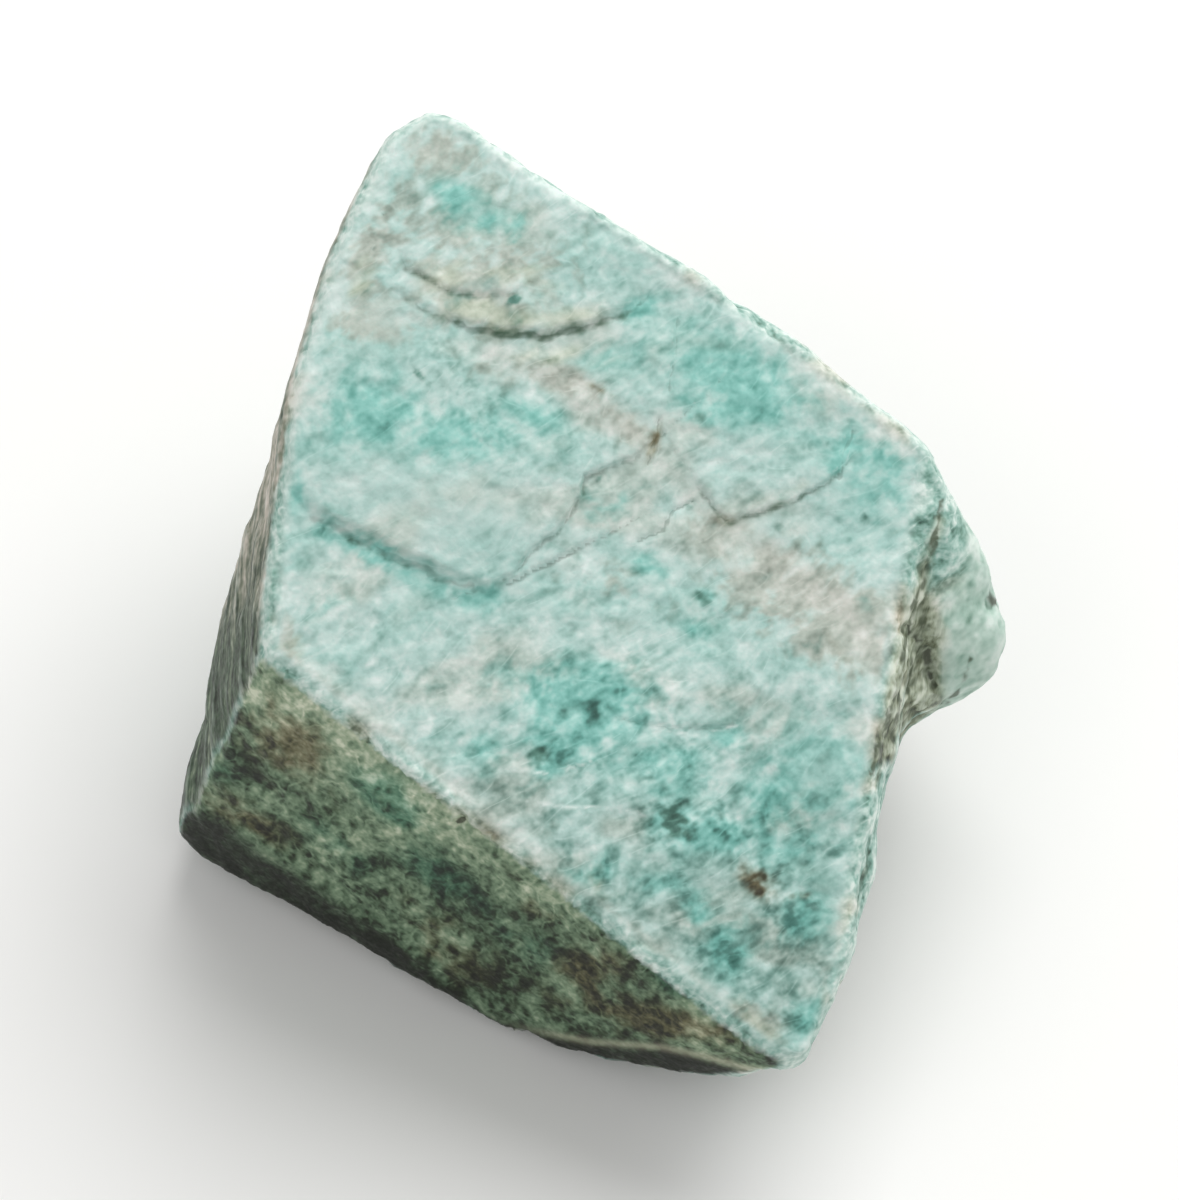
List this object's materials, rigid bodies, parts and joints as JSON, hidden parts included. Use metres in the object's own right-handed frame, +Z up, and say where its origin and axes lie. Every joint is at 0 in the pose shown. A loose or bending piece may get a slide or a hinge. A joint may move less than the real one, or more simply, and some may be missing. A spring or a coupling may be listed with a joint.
{
  "type": "rough amazonite",
  "caption": "Rough broken lump of blue-green amazonite feldspar with a large leaning cleavage face, a darker fractured side and a small knob, for display, study or cutting.",
  "frame": {"origin": "under the middle of the lump, on the flat spot that it rests on", "axes": "+Z up, -Y towards the side that the leaning cleavage face looks at, +X towards the knob"},
  "size_m": [0.0502, 0.053, 0.0381],
  "materials": {
    "amazonite": "weathered, dull"
  },
  "bodies": {
    "root": {"amazonite": "amazonite"}
  },
  "joints": []
}
